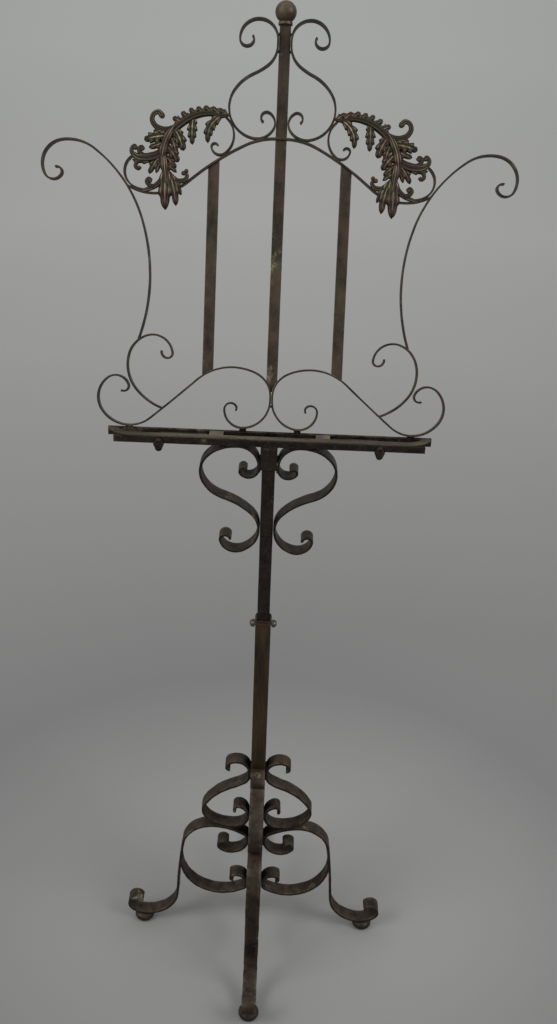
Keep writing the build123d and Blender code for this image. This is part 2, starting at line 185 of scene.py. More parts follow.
# Floor, world and lamps -----------------------------------------------------------------------
studio_grey = paint(163, 165, 162)
floor_reach, floor_sides = 60.0, 48
floor_mesh = bpy.data.meshes.new("floor")
floor_mesh.from_pydata(
    [(0, 0, 0), *((floor_reach * cos(turn), floor_reach * sin(turn), 0) for turn in turns(floor_sides))],
    [],
    [(0, k + 1, (k + 1) % floor_sides + 1) for k in range(floor_sides)],
)
floor = linked("floor", floor_mesh)
floor_paper, nodes = new_finish("floor_paper")
where = nodes.add("ShaderNodeTexCoord", output="Object")
reach = nodes.add("ShaderNodeVectorMath", {"operation": "LENGTH"}, {0: where}, "Value")
# Painted light and shade on the floor by distance from the post, in metres: a painted shade under the stand
# and in a ring about 0.75 m out, then painted light that grows paler farther away.
tone_reach = 12.0
painted_floor_light = nodes.add(
    "ShaderNodeValToRGB",
    {
        "stops": [
            (distance / tone_reach, paint(*tone))
            for distance, tone in (
                (0.0, (124, 124, 123)),
                (tone_reach, (184, 186, 184)),
                (0.3, (126, 126, 125)),
                (0.75, (112, 112, 112)),
                (1.5, (131, 131, 130)),
                (3.0, (158, 159, 157)),
                (5.0, (176, 177, 175)),
            )
        ]
    },
    {0: reach / tone_reach},
)
# The floor is paler in a band that widens away from a point in front and in a round pool on the right, and
# darker near the camera. In metres.
east = nodes.add("ShaderNodeSeparateXYZ", None, {0: where})
north = Value(nodes, east.socket.node.outputs["Y"])
aisle_start, aisle_spread, pool_radius = 2.48, 0.3, 0.8
slant = east / (north + aisle_start) + 0.03
lit_aisle = (1.0 - abs(slant / aisle_spread) ** 2).clamp() * north.over(-0.9, 0.2)
pool_middle = {0: where, 1: (0.5, 0.2, 0)}
from_pool = nodes.add("ShaderNodeVectorMath", {"operation": "DISTANCE"}, pool_middle, "Value")
lit_corner = (1.0 - from_pool / pool_radius).clamp()
near_shade = north.over(-0.08, -0.4)
light_pool = 1.01 + 0.15 * lit_aisle + 0.18 * lit_corner - 0.09 * near_shade
surface(nodes, "ShaderNodeBsdfDiffuse", {"Color": nodes.scaled(painted_floor_light, light_pool)})
floor_mesh.materials.append(floor_paper)

world = bpy.data.worlds.new("studio")
bpy.context.scene.world = world
world.use_nodes = True
world.node_tree.nodes.clear()
nodes = Nodes(world.node_tree)
rays = nodes.add("ShaderNodeLightPath").socket.node.outputs
camera_ray, glossy_ray, transmission_ray = (
    Value(nodes, rays[name]) for name in ("Is Camera Ray", "Is Glossy Ray", "Is Transmission Ray")
)
seen = (camera_ray + glossy_ray + transmission_ray).clamp()
room_light = nodes.add("ShaderNodeBackground", None, {"Color": (1, 1, 1, 1), "Strength": 0.66})
room_seen = nodes.add("ShaderNodeBackground", None, {"Color": studio_grey, "Strength": 1.0})
nodes.add(
    "ShaderNodeOutputWorld",
    None,
    {"Surface": nodes.add("ShaderNodeMixShader", None, {0: seen, 1: room_light, 2: room_seen})},
)

lamp_target = Vector((0, 0, 0.8))
for name, place, power in (
    ("left_softbox", (-2.3, -1.3, 2.7), 52.0),
    ("right_softbox", (2.3, -1.1, 2.7), 46.0),
):
    lamp = linked(name, bpy.data.lights.new(name, "AREA"))
    lamp.data.energy = power
    lamp.data.size = 1.5
    lamp.location = place
    lamp.rotation_mode = "QUATERNION"
    lamp.rotation_quaternion = (lamp_target - Vector(place)).to_track_quat("-Z", "Y")


# Finishes -------------------------------------------------------------------------------------
def patinated_iron(
    name, dark, brown, rubbed_and_lit, stretch=(1.0, 1.0, 1.0), gloss=0.42, wear=0.4, scuff=0.3, patchy=0.1,
    rust_height=None, darken_height=None,
):
    """Old oil-blackened iron: brown and olive bloom, fine scale, pale arrises where hands and time wore them,
    and
    painted top light: faces that look up are painted paler, partly dust and partly light from above.

    wear is how far the arrises wear pale, scuff how strong the pale scuffs are, and patchy how far the tone
    drifts along the bar. rubbed_and_lit is the pale colour of the arrises and of the painted top light. In
    metres, rust_height is a level where rust has gathered and darken_height one above which the iron is
    darker.
    """
    scale_brown, scuffed, rust_brown = paint(60, 35, 24), paint(136, 130, 108), paint(84, 54, 33)
    rust_spread, darken_fade = 0.0034, 0.08
    material, nodes = new_finish(name)
    at = nodes.add("ShaderNodeTexCoord", output="Object")
    along = nodes.stretched(at, *stretch)
    olive = tuple(c * k for c, k in zip(brown, (0.8, 1.0, 0.7, 1.0)))
    bloom = nodes.mix(nodes.noise(at, 9.0, 2.0).over(0.44, 0.58), brown, olive)
    blotch = nodes.noise(along, 30.0, 5.0, 0.62).over(0.40, 0.62)
    scale_spots = nodes.noise(along, 240.0, 4.0, 0.65).over(0.50, 0.68)
    rub_noise = nodes.noise(along, 70.0, 4.0, 0.6)
    edge = nodes.add("ShaderNodeAttribute", {"attribute_name": "edge"}, output="Fac")
    facing = nodes.add("ShaderNodeTexCoord", output="Normal")
    # Painted top light: faces that look up take the pale arris colour, partly as dust and partly as light
    # from above.
    dust_and_top_light = nodes.add("ShaderNodeSeparateXYZ", None, {0: facing}, "Z").over(0.1, 1.0)
    worn_and_lit = (edge * rub_noise.over(0.42, 0.62) * wear + dust_and_top_light * rub_noise.over(0.35, 0.65) * 0.38).clamp()
    speckle = nodes.noise(at, 330.0, 3.0, 0.7).over(0.36, 0.62)
    scuffs = nodes.noise(along, 26.0, 4.0, 0.6).over(0.60, 0.68) * rub_noise.over(0.42, 0.55) * speckle
    tint = nodes.mix(blotch, dark, bloom)
    tint = nodes.mix(scale_spots * 0.5, tint, scale_brown)
    tint = nodes.mix(worn_and_lit, tint, rubbed_and_lit)
    tint = nodes.mix(scuffs * scuff, tint, scuffed)
    drift = nodes.noise(at, 11.0, 6.0, 0.66).over(0.34, 0.66)
    tint = nodes.scaled(tint, ((1.0 - patchy) + 2.0 * patchy * drift) * (0.86 + 0.28 * speckle))
    height = nodes.add("ShaderNodeSeparateXYZ", None, {0: at}, "Z")
    # The iron is made darker above a given height.
    if darken_height:
        tint = nodes.scaled(tint, 1.0 - 0.3 * height.over(darken_height, darken_height + darken_fade))
    if rust_height:
        rust = (1.0 - abs(height - rust_height) / rust_spread).clamp() * rub_noise.over(0.3, 0.5)
        tint = nodes.mix(rust * 0.7, tint, rust_brown)
    hammer = nodes.add(
        "ShaderNodeTexVoronoi", {"feature": "SMOOTH_F1"}, {"Vector": along, "Scale": 85.0, "Smoothness": 0.6}
    )
    grain = nodes.noise(at, 620.0, 3.0, 0.6)
    relief = nodes.add(
        "ShaderNodeBump", None, {"Strength": 0.5, "Distance": 0.0009, "Height": hammer * 0.9 + grain * 0.35}
    )
    surface(
        nodes,
        "ShaderNodeBsdfPrincipled",
        {
            "Base Color": tint,
            "Roughness": gloss + 0.2 * blotch - 0.12 * worn_and_lit,
            "Metallic": 0.1 + 0.4 * worn_and_lit,
            "Specular IOR Level": 0.3,
            "Normal": relief,
        },
    )
    return material


def cast_bronze(name):
    """Cast acanthus: red-brown and olive body, pale ochre on the raised ribs, dark hollows."""
    material, nodes = new_finish(name)
    at = nodes.add("ShaderNodeTexCoord", output="Object")
    relief = nodes.add("ShaderNodeAttribute", {"attribute_name": "relief"}, output="Fac")
    drift = nodes.noise(at, 30.0, 3.0, 0.55).over(0.40, 0.60)
    spot = nodes.noise(at, 260.0, 4.0, 0.6)
    body = nodes.mix(drift, paint(62, 55, 32), paint(68, 45, 36))
    hollow = nodes.mix(drift, paint(15, 16, 7), paint(20, 12, 9))
    tint = nodes.mix((relief * 2.0 - 0.1).clamp(), hollow, body)
    gilding = nodes.noise(at, 42.0, 3.0, 0.6).over(0.40, 0.56)
    rim = (relief.over(0.47, 0.84) * (0.5 + 0.5 * spot.over(0.32, 0.56)) * (0.35 + 0.65 * gilding)).clamp()
    ochre = nodes.mix(drift, paint(204, 190, 146), paint(188, 162, 130))
    tint = nodes.mix(rim, tint, ochre)
    tint = nodes.mix(spot.over(0.62, 0.72) * 0.6, tint, paint(38, 28, 22))
    bumps = nodes.add(
        "ShaderNodeBump", None, {"Strength": 0.5, "Distance": 0.0005, "Height": spot + nodes.noise(at, 900.0)}
    )
    surface(
        nodes,
        "ShaderNodeBsdfPrincipled",
        {
            "Base Color": tint,
            "Roughness": 0.52 - 0.1 * rim,
            "Metallic": 0.08 + 0.22 * rim,
            "Specular IOR Level": 0.3,
            "Normal": bumps,
        },
    )
    return material


def turned_steel(name):
    """Bare steel of the thumbscrew heads, dulled, with fine turning rings."""
    material, nodes = new_finish(name)
    at = nodes.add("ShaderNodeTexCoord", output="Object")
    dull = nodes.noise(at, 180.0, 4.0, 0.6).over(0.35, 0.7)
    rings = nodes.noise(nodes.stretched(at, 6.0, 1.0, 1.0), 500.0, 2.0)
    relief = nodes.add("ShaderNodeBump", None, {"Strength": 0.3, "Distance": 0.0003, "Height": rings + dull})
    surface(
        nodes,
        "ShaderNodeBsdfPrincipled",
        {
            "Base Color": nodes.mix(dull, paint(112, 107, 96), paint(60, 55, 46)),
            "Roughness": 0.4 + 0.2 * dull,
            "Metallic": 0.8,
            "Normal": relief,
        },
    )
    return material


leg_iron = patinated_iron(
    "leg_iron", paint(16, 14, 11), paint(38, 27, 20), paint(94, 80, 64), wear=0.5, scuff=0.6, patchy=0.15
)
tube_iron = patinated_iron(
    "tube_iron", paint(24, 20, 12), paint(60, 44, 28), paint(112, 98, 74), stretch=(1.0, 1.0, 0.16),
    gloss=0.40, rust_height=TUBE_MOUTH,
)
# Painted shade: the bar, its socket and the brackets under the ledge take an iron darker than the desk's,
# partly their own dark tone and partly painted shade from the ledge above.
shaded_bar_iron = patinated_iron("shaded_bar_iron", paint(13, 9, 5), paint(27, 20, 13), paint(70, 60, 46))
collar_iron = patinated_iron(
    "collar_iron", paint(14, 12, 9), paint(32, 25, 18), paint(44, 37, 30), rust_height=TUBE_MOUTH
)
desk_iron = patinated_iron("desk_iron", paint(22, 20, 17), paint(50, 39, 30), paint(100, 90, 72), wear=0.35)
slat_iron = patinated_iron(
    "slat_iron", paint(31, 26, 21), paint(64, 47, 37), paint(110, 96, 76), stretch=(1.0, 1.0, 0.4),
    wear=0.15, scuff=0.75, patchy=0.2,
)
spine_iron = patinated_iron(
    "spine_iron", paint(30, 26, 20), paint(64, 50, 38), paint(108, 95, 74), stretch=(1.0, 1.0, 0.4),
    wear=0.15, scuff=0.75, patchy=0.22, darken_height=1.32,
)
# Painted light: the ball finial takes a paler copy of the desk iron, a painted highlight on it.
lit_ball_iron = patinated_iron("lit_ball_iron", paint(50, 42, 34), paint(92, 73, 55), paint(136, 121, 98))
# The ledge's irons are lit and shaded copies of one iron: this darkest one is painted shade on the ledge's
# face bar and back rail, and the holder parts and desk foot welds share it; the front rail's and cross
# straps' irons below are paler, painted light on the ledge's top.
ledge_iron = patinated_iron("ledge_iron", paint(9, 8, 6), paint(27, 20, 15), paint(80, 70, 57), wear=0.3)
lit_rail_iron = patinated_iron(
    "lit_rail_iron", paint(40, 36, 30), paint(60, 52, 42), paint(104, 95, 80), stretch=(0.15, 1.0, 1.0), wear=0.3
)
lit_strap_iron = patinated_iron("lit_strap_iron", paint(66, 60, 51), paint(84, 74, 60), paint(120, 110, 94), wear=0.3)
leaf_bronze = cast_bronze("leaf_bronze")
screw_steel = turned_steel("screw_steel")


# Places ---------------------------------------------------------------------------------------
def leg_place(azimuth):
    """Upright plane through the post: x outward, y up."""
    outward = Vector((cos(radians(azimuth)), sin(radians(azimuth)), 0))
    return Matrix((outward, (0, 0, 1), outward.cross((0, 0, 1)))).transposed().to_4x4()


desk_up = Vector((0, sin(DESK_LEAN), cos(DESK_LEAN)))
desk_out = Vector((0, -cos(DESK_LEAN), sin(DESK_LEAN)))


def desk_place(side):
    """The desk's plane: x outward on this side, y up the desk, z out of its face."""
    place = Matrix(((side, 0, 0), desk_up, desk_out)).transposed().to_4x4()
    place.translation = [c * MM for c in DESK_FOOT]
    return place


# Straps ---------------------------------------------------------------------------------------
def arcs(start, heading, bends, step):
    """Points at most step mm apart along arcs laid end to end, from a heading in radians.

    Each arc is (radius, turn) in mm and degrees, and a positive turn bends to the left.
    """
    widest = 0.13  # radians of bend between two points at most
    x, y = start
    points = []
    for radius, turn in bends:
        sweep = radians(turn)
        pieces = max(2, ceil(abs(sweep) / widest), ceil(radius * abs(sweep) / step))
        bow = 1 if turn > 0 else -1
        centre_x, centre_y = x - bow * radius * sin(heading), y + bow * radius * cos(heading)
        for k in range(1, pieces + 1):
            way = heading + sweep * k / pieces
            points.append((centre_x + bow * radius * sin(way), centre_y - bow * radius * cos(way)))
        heading += sweep
        x, y = points[-1]
    return points


def scroll_line(anchor, run, up, down, step):
    """A strap's middle line: flat against its neighbour for a short run, curling away at both ends.

    anchor is the middle of the run, and up and down are the arcs that leave its two ends.
    """
    x, y = anchor
    top = arcs((x, y + run / 2), pi / 2, up, step)
    foot = arcs((x, y - run / 2), -pi / 2, down, step)
    return foot[::-1] + [(x, y - run / 2), (x, y), (x, y + run / 2)] + top


def bent_line(start, heading, bends, step):
    """A strap's middle line from one end. The heading is in degrees."""
    return [start] + arcs(start, radians(heading), bends, step)


def strap_nodes():
    """The tree that draws a hammered flat strap along a line of points.

    The points carry the direction across the strap as "side". The mesh gets "edge", 1 along its arrises.
    """
    tree = bpy.data.node_groups.new("hammered_strap", "GeometryNodeTree")
    tree.interface.new_socket("Strap", in_out="OUTPUT", socket_type="NodeSocketGeometry")
    tree.interface.new_socket("Line", in_out="INPUT", socket_type="NodeSocketGeometry")
    for name in ("Width", "Thickness", "Corner", "Hammer Depth", "Hammer Size", "Seed"):
        tree.interface.new_socket(name, in_out="INPUT", socket_type="NodeSocketFloat")
    tree.interface.new_socket("Finish", in_out="INPUT", socket_type="NodeSocketMaterial")
    nodes = Nodes(tree)
    given = nodes.add("NodeGroupInput").socket.node.outputs
    line, width, thickness, corner, depth, size, seed, finish = (Value(nodes, given[k]) for k in range(8))

    side = nodes.add("GeometryNodeInputNamedAttribute", {"data_type": "FLOAT_VECTOR"}, {"Name": "side"})
    curve = nodes.add("GeometryNodeMeshToCurve", None, {0: line})
    curve = nodes.add("GeometryNodeSetCurveNormal", {"mode": "FREE"}, {"Curve": curve, "Normal": side})

    section = nodes.add(
        "GeometryNodeCurvePrimitiveQuadrilateral", None, {"Width": width, "Height": thickness}
    )
    section = nodes.add("GeometryNodeSubdivideCurve", None, {"Curve": section, "Cuts": 3})
    section = nodes.add(
        "GeometryNodeFilletCurve",
        {"mode": "POLY"},
        {"Curve": section, "Radius": corner, "Limit Radius": True, "Count": 2},
    )
    spot = nodes.add("ShaderNodeSeparateXYZ", None, {0: nodes.add("GeometryNodeInputPosition")})
    spot_y = Value(nodes, spot.socket.node.outputs["Y"])
    near_side = ((abs(spot) - width * 0.5) / (corner * 3.0) + 1.0).clamp()
    near_face = ((abs(spot_y) - thickness * 0.5) / (corner * 1.5) + 1.0).clamp()
    section = nodes.add(
        "GeometryNodeStoreNamedAttribute",
        {"data_type": "FLOAT", "domain": "POINT"},
        {"Geometry": section, "Name": "edge", "Value": near_side * near_face},
    )
    strap = nodes.add(
        "GeometryNodeCurveToMesh", None, {"Curve": curve, "Profile Curve": section, "Fill Caps": True}
    )
    strap = nodes.add("GeometryNodeMergeByDistance", None, {"Geometry": strap, "Distance": 0.00001})
    blows = nodes.add(
        "ShaderNodeTexNoise", {"noise_dimensions": "4D"}, {"W": seed, "Scale": size, "Detail": 2.0}
    )
    sunk = nodes.scaled(nodes.add("GeometryNodeInputNormal"), blows.over(0.35, 0.7) * depth * -1.0)
    strap = nodes.add("GeometryNodeSetPosition", None, {"Geometry": strap, "Offset": sunk})
    strap = nodes.add("GeometryNodeSetShadeSmooth", None, {"Geometry": strap, "Shade Smooth": True})
    strap = nodes.add("GeometryNodeRealizeInstances", None, {"Geometry": strap})
    strap = nodes.add("GeometryNodeSetMaterial", None, {"Geometry": strap, "Material": finish})
    nodes.add("NodeGroupOutput", None, {0: strap})
    return tree


def grown(name, mesh, tree, sizes):
    """The mesh that a tree makes from this one, as a new object with nothing left live on it."""
    source = linked(name + "_line", mesh)
    modifier = source.modifiers.new("grow", "NODES")
    modifier.node_group = tree
    for item in tree.interface.items_tree:
        if item.name in sizes:
            modifier[item.identifier] = sizes[item.name]
    evaluated = source.evaluated_get(bpy.context.evaluated_depsgraph_get())
    made = bpy.data.meshes.new_from_object(evaluated)
    made.name = name
    source.modifiers.remove(modifier)
    bpy.data.objects.remove(source)
    return linked(name, made)


def placed(piece, body, slot, *replaced):
    """Hangs a finished piece on its body and hides the CAD nodes it stands for."""
    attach(piece, body)
    if replaced:
        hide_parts(*replaced)


strap_tree = strap_nodes()
strap_seeds = count(1)


def strap(node, body, slot, finish, place, line, width, thickness, depth):
    """One strap along a line in its plane, standing for the CAD strap of that name. In mm.

    depth is how deep the hammer marks go.
    """
    mesh = bpy.data.meshes.new(node + "_line")
    mesh.from_pydata(
        [place @ Vector((x * MM, y * MM, 0)) for x, y in line], [(k, k + 1) for k in range(len(line) - 1)], []
    )
    across = place.to_3x3() @ Vector((0, 0, 1))
    mesh.attributes.new("side", "FLOAT_VECTOR", "POINT")
    mesh.attributes["side"].data.foreach_set("vector", list(across) * len(line))
    piece = grown(
        node + "_strap",
        mesh,
        strap_tree,
        {
            "Width": width * MM,
            "Thickness": thickness * MM,
            "Corner": 0.16 * thickness * MM,
            "Hammer Depth": depth * MM,
            "Hammer Size": 55.0,  # blows a metre
            "Seed": float(next(strap_seeds)),
            "Finish": finish,
        },
    )
    placed(piece, body, slot, node)


leg_step, head_step = 3.0, 2.5
leg_lines = (
    (
        "leg_scroll",
        scroll_line(
            anchor=(15, 219.5),
            run=4,
            up=(
                (13, -55), (104, -32), (54, -85), (1201, -6), (60.8, 76.4), (44.3, 49.8), (16.5, 90),
                (12.1, 123),
            ),
            down=((29, 136), (9, 199)),
            step=leg_step,
        ),
    ),
    (
        "leg_top_scroll",
        scroll_line(
            anchor=(15, 376.2),
            run=8,
            up=((22.6, -118), (12.5, -58), (5, -110)),
            down=((19.5, 53), (87, 15), (100, -39), (24, -63), (55, -69), (24.2, -142), (8, -160)),
            step=leg_step,
        ),
    ),
    (
        "leg_brace",
        scroll_line(
            anchor=(15, 108),
            run=6,
            up=((18, -119), (5.3, -159)),
            down=((10, 56), (73, 93), (85, 30.6)),
            step=leg_step,
        ),
    ),
)
bracket_line = scroll_line(
    anchor=(14.5, 974.8),
    run=4,
    up=((31.5, -86), (61, -44), (38, -78), (52.5, -44), (109, 26), (40, 117), (24.1, 95.5), (7.8, 189)),
    down=((15, 145), (5.2, 195)),
    step=head_step,
)
desk_lines = (
    (
        "bottom_scroll",
        scroll_line(
            anchor=(1.5, 47.7),
            run=6,
            up=((36.6, -64), (79, -68), (2539, 2), (48, 94), (35, 86), (20, 107), (7.6, 142)),
            down=((41, 84), (27, 94), (9.5, 130), (6.5, 88)),
            step=head_step,
        ),
    ),
    (
        "hook_scroll",
        bent_line(
            start=(158.8, 28.2),
            heading=19.0,
            bends=((87, 32.2), (56, 54.5), (39, 55.7), (28.7, 101), (7.1, 99), (9.1, 98)),
            step=head_step,
        ),
    ),
    (
        "wing_bar",
        bent_line(
            start=(195.5, 127.0),
            heading=109.1,
            bends=(
                (264, -25.1), (272, -12.3), (187, -36.5), (60, -47), (33, -105), (13.4, -125), (7, -138.5),
            ),
            step=head_step,
        ),
    ),
    (
        "arch_rail",
        bent_line(
            start=(0, 414), heading=3.2, bends=((102, -30.2), (398, -13.4), (77, 68.6)), step=head_step
        ),
    ),
    (
        "crown_scroll",
        scroll_line(
            anchor=(9.5, 544),
            run=8,
            up=((26.6, -181), (9.9, -161), (7, -62)),
            down=(
                (35, 53), (100, 12), (65, -31), (42, -116), (27.2, -67), (16, -94), (7.7, -140),
                (5.4, -45),
            ),
            step=head_step,
        ),
    ),
    (
        "inner_tendril",
        bent_line(
            start=(78.9, 441.1),
            heading=-134.0,
            bends=((2539, 0.113), (31, 94.7), (12.4, 116), (4.9, 167)),
            step=head_step,
        ),
    ),
    (
        "outer_tendril",
        bent_line(start=(206.6, 384.7), heading=-25.0, bends=((24, -130), (46, -20)), step=head_step),
    ),
)

for leg, azimuth in LEGS:
    for part, line in leg_lines:
        strap(
            f"{leg}_{part}", "base", "leg_iron", leg_iron, leg_place(azimuth), line,
            width=25, thickness=5, depth=0.8,
        )
for hand, side in HANDS:
    strap(
        hand + "_bracket_scroll", "head", "ledge_iron", shaded_bar_iron, leg_place(90 - 90 * side), bracket_line,
        width=24, thickness=4, depth=0.5,
    )
    for part, line in desk_lines:
        strap(
            f"{hand}_{part}", "head", "desk_iron", desk_iron, desk_place(side), line,
            width=12, thickness=3, depth=0.3,
        )


# The remaining forged and turned nodes --------------------------------------------------------
def dressed(node, body, slot, finish, slices=(), round_over=0.0, depth=0.0):
    """A copy of a CAD node with its arrises rounded over, cut into courses and lightly hammered. In mm.

    slices are (axis, places along it). Their cuts give the long faces points for the hammer to move.
    """
    flat_angle, arris_angle, sharp_angle = radians(0.6), radians(35), radians(38)
    blows_a_metre = 60.0
    shape = bmesh.new()
    shape.from_mesh(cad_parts[node].data)
    bmesh.ops.remove_doubles(shape, verts=shape.verts, dist=0.00001)
    bmesh.ops.dissolve_limit(
        shape, angle_limit=flat_angle, verts=shape.verts, edges=shape.edges, delimit=set()
    )
    rounded = shape.faces.layers.int.new("rounded")
    if round_over:
        arrises = [e for e in shape.edges if e.is_manifold and e.calc_face_angle(0) > arris_angle]
        made = bmesh.ops.bevel(
            shape,
            geom=arrises,
            offset=round_over * MM,
            segments=2,
            profile=0.5,
            affect="EDGES",
            clamp_overlap=True,
        )
        for face in made["faces"]:
            face[rounded] = 1
    for axis, places in slices:
        axis = Vector(axis)
        for distance in places:
            bmesh.ops.bisect_plane(
                shape,
                geom=list(shape.verts) + list(shape.edges) + list(shape.faces),
                plane_co=axis * distance * MM,
                plane_no=axis,
            )
    edge = shape.verts.layers.float.new("edge")
    shape.normal_update()
    moves = []
    for vertex in shape.verts:
        vertex[edge] = float(any(face[rounded] for face in vertex.link_faces))
        if depth:
            blow = 0.5 + 0.5 * noise.noise(vertex.co * blows_a_metre)
            moves.append((vertex, vertex.normal * -depth * MM * blow))
    for vertex, move in moves:
        vertex.co += move
    mesh = bpy.data.meshes.new(node + "_dressed")
    shape.to_mesh(mesh)
    shape.free()
    mesh.materials.clear()
    mesh.materials.append(finish)
    for polygon in mesh.polygons:
        polygon.use_smooth = True
        polygon.material_index = 0
    mesh.set_sharp_from_angle(angle=sharp_angle)
    placed(linked(node + "_dressed", mesh), body, slot, node)


def courses(low, high, gap):
    """Places between low and high, about gap apart."""
    pieces = max(1, round((high - low) / gap))
    return [low + (high - low) * k / pieces for k in range(1, pieces)]


across, deep, tall = (1, 0, 0), (0, 1, 0), (0, 0, 1)
desk_base = Vector(DESK_FOOT)
desk_low, desk_middle = desk_base.dot(desk_up), desk_base.dot(desk_out)
along_desk = (desk_up, [desk_low + v for v in courses(60, 572, 7)])
through_desk = (desk_out, (desk_middle - 1, desk_middle + 1))
slat_across, slat_courses = 94, (-6.2, 0, 6.2)

dressed(
    "centre_bar", "head", "desk_iron", spine_iron,
    ((across, slat_courses), through_desk, along_desk), round_over=0.8, depth=0.15,
)
for hand, side in HANDS:
    dressed(
        hand + "_slat", "head", "desk_iron", slat_iron,
        ((across, [side * slat_across + u for u in slat_courses]), through_desk, along_desk),
        round_over=0.8, depth=0.15,
    )
dressed(
    "face_bar", "head", "ledge_iron", ledge_iron,
    ((across, courses(-227, 227, 7)), (tall, (1012, 1018.5)), (deep, (-12.5, -9.5))),
    round_over=0.7, depth=0.3,
)
dressed(
    "back_rail", "head", "ledge_iron", ledge_iron,
    ((across, courses(-238, 238, 7)), (tall, (1012, 1021))), round_over=0.7, depth=0.3,
)
dressed(
    "front_rail", "head", "ledge_iron", lit_rail_iron,
    ((across, courses(-238, 238, 7)),), round_over=0.6, depth=0.2,
)
for hand, _ in HANDS:
    holder = hand + "_page_holder"
    dressed(
        hand + "_cross_strap", "head", "ledge_iron", lit_strap_iron,
        ((across, (-70, -86, 70, 86)),), round_over=0.4, depth=0.2,
    )
    dressed(hand + "_holder_lug", holder, "ledge_iron", ledge_iron, round_over=0.5, depth=0.1)
    dressed(hand + "_holder_finger", holder, "ledge_iron", ledge_iron, round_over=0.5, depth=0.1)
    dressed(hand + "_holder_pin", holder, "ledge_iron", ledge_iron)
    dressed(hand + "_thumbscrew", hand + "_thumbscrew", "screw_steel", screw_steel)
dressed(
    "inner_bar", "head", "post_iron", shaded_bar_iron,
    ((tall, courses(391, 1010, 7)), (across, (-5, 0, 5)), (deep, (-5, 0, 5))), depth=0.5,
)
dressed(
    "ledge_socket", "head", "post_iron", shaded_bar_iron,
    ((tall, courses(971, 1010, 7)),), round_over=0.6, depth=0.2,
)
dressed(
    "outer_tube", "base", "post_iron", tube_iron,
    ((tall, courses(103, 693, 8)), (across, (-6, 0, 6)), (deep, (-6, 0, 6))), depth=0.3,
)
dressed("tube_end_plug", "base", "post_iron", tube_iron)
dressed("guide_collar", "base", "post_iron", collar_iron, round_over=0.6, depth=0.1)
dressed("ball_finial", "head", "desk_iron", lit_ball_iron)
dressed("desk_foot_welds", "head", "desk_iron", ledge_iron)
for leg, _ in LEGS:
    dressed(leg + "_foot", "base", "leg_iron", leg_iron)


# Cast sprays and weld beads -------------------------------------------------------------------
PLAIN_RELIEF = 0.3  # the relief of metal that is neither a rib nor a hollow


def smooth(route, steps):
    """A smooth line through every point of a route."""
    points = [Vector(p) for p in route]
    points = [points[0] * 2 - points[1], *points, points[-1] * 2 - points[-2]]
    line = []
    for a, b, c, d in zip(points, points[1:], points[2:], points[3:]):
        bend, twist = a * 2 - b * 5 + c * 4 - d, b * 3 - a - c * 3 + d
        for t in (k / steps for k in range(steps)):
            line.append((b * 2 + (c - a) * t + bend * t * t + twist * t**3) / 2)
    return [*line, points[-2]]


def blended(values, share):
    """Where share of the way along a list of values falls."""
    at = share * (len(values) - 1)
    low = min(int(at), len(values) - 2)
    return values[low] + (values[low + 1] - values[low]) * (at - low)


def bowed(start, middle, end, share):
    """Where share of the way along a bow falls, from start to end and pulled towards middle."""
    return start * (1 - share) ** 2 + middle * 2 * share * (1 - share) + end * share * share


def ridge(distance, width):
    """1 on a ridge's crest, falling to almost 0 at twice this width from it."""
    return exp(-((distance / width) ** 2))


